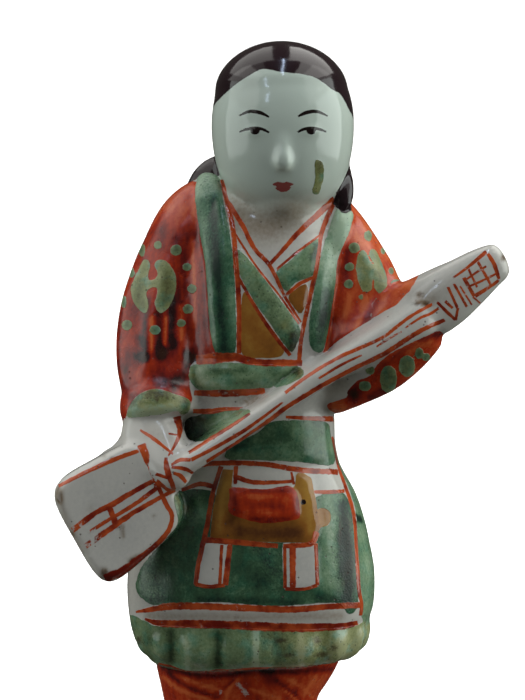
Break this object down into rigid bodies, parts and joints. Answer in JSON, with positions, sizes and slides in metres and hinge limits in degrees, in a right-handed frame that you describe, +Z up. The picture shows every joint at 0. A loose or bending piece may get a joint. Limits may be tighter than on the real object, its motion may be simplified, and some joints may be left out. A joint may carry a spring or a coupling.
{
  "type": "musician figure",
  "caption": "Standing musician with a shamisen, an enamelled and glazed press-moulded porcelain figure in one piece with its low base, to stand on a shelf.",
  "frame": {"origin": "middle of the flat underside of the base", "axes": "+Z up, and the figure's front faces -Y, so its right hand is at -X"},
  "size_m": [0.1108, 0.0501, 0.1988],
  "materials": {
    "enamelled_porcelain": "glossy clear glaze over pale grey-white porcelain, painted with iron red, green, ochre and brown-black enamels"
  },
  "bodies": {
    "root": {"musician_figure": "enamelled_porcelain"}
  },
  "joints": []
}
